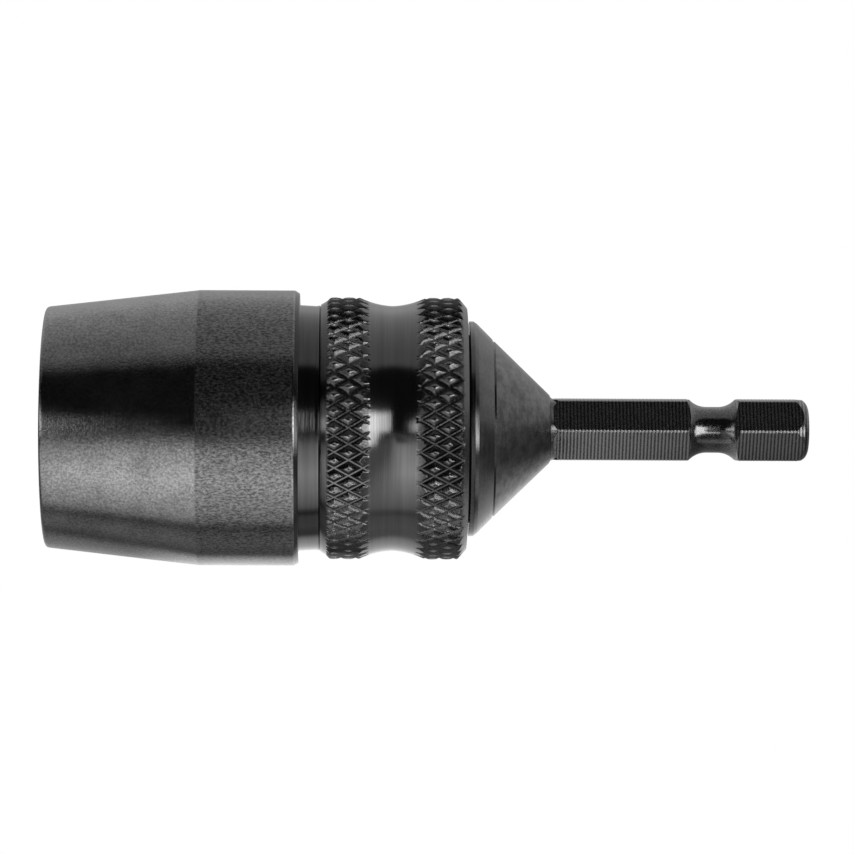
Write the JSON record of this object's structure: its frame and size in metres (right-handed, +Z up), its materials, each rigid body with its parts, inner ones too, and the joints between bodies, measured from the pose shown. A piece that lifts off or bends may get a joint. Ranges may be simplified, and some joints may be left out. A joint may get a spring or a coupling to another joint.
{
  "type": "keyless drill chuck",
  "caption": "Self-tightening keyless drill chuck with sloping jaws behind a smooth nose sleeve, a waisted knurled hand ring, and a hexagonal quick-release shank on a conical back.",
  "frame": {"origin": "centre of the flat end face of the hexagonal shank, on the chuck's axis", "axes": "the chuck's axis lies along X with the nose and jaws towards -X and the shank's end facing +X; +Z is up through jaw_1; a corner of the hexagon faces -Y"},
  "size_m": [0.0802, 0.029, 0.029],
  "materials": {
    "black_steel": "satin black oxide on turned steel",
    "dark_steel": "dark heat-treated steel, lightly oiled",
    "jaw_steel": "ground hardened steel, dull grey",
    "bearing_steel": "polished bearing steel",
    "bare_steel": "ground bare steel",
    "spring_steel": "dark spring steel",
    "brass": "satin rolled brass",
    "seal_rubber": "matt black rubber"
  },
  "bodies": {
    "spindle": {"hex_shank": "black_steel", "shank_cross_pin": "bare_steel", "spindle": "black_steel", "dust_seal": "seal_rubber", "thrust_nut": "dark_steel", "nut_lock_screw": "dark_steel", "retaining_ring": "spring_steel", "front_race": "bearing_steel"},
    "ball_set": {"ball_cage": "brass", "bearing_balls": "bearing_steel"},
    "hood": {"knurled_hood": "black_steel", "rear_race": "bearing_steel", "front_sleeve": "black_steel", "jaw_guide": "dark_steel", "guide_key_pins": "bare_steel"},
    "jaw_screw": {"jaw_screw": "dark_steel"},
    "jaw_1": {"jaw_1": "jaw_steel"},
    "jaw_2": {"jaw_2": "jaw_steel"},
    "jaw_3": {"jaw_3": "jaw_steel"}
  },
  "joints": [
    {"name": "hood_turn", "type": "hinge", "parent": "spindle", "child": "hood", "pos_m": [-0.05, 0, 0], "axis": [1, 0, 0], "range_deg": [0, 2160]},
    {"name": "ball_turn", "type": "hinge", "parent": "spindle", "child": "ball_set", "pos_m": [-0.04175, 0, 0], "axis": [1, 0, 0], "range_deg": [0, 1080]},
    {"name": "jaw_screw_travel", "type": "slide", "parent": "hood", "child": "jaw_screw", "axis": [-1, 0, 0], "range_m": [0, 0.009]},
    {"name": "jaw_1_slide", "type": "slide", "parent": "hood", "child": "jaw_1", "axis": [-0.9659, 0, -0.2588], "range_m": [0, 0.00932]},
    {"name": "jaw_2_slide", "type": "slide", "parent": "hood", "child": "jaw_2", "axis": [-0.9659, 0.2241, 0.1294], "range_m": [0, 0.00932]},
    {"name": "jaw_3_slide", "type": "slide", "parent": "hood", "child": "jaw_3", "axis": [-0.9659, -0.2241, 0.1294], "range_m": [0, 0.00932]}
  ],
  "couplings": [
    {"joint": "ball_turn", "follows": "hood_turn", "ratio": 0.5},
    {"joint": "jaw_screw_travel", "follows": "hood_turn", "m_per_rad": 0.00023873},
    {"joint": "jaw_1_slide", "follows": "hood_turn", "m_per_rad": 0.00024715},
    {"joint": "jaw_2_slide", "follows": "hood_turn", "m_per_rad": 0.00024715},
    {"joint": "jaw_3_slide", "follows": "hood_turn", "m_per_rad": 0.00024715}
  ]
}
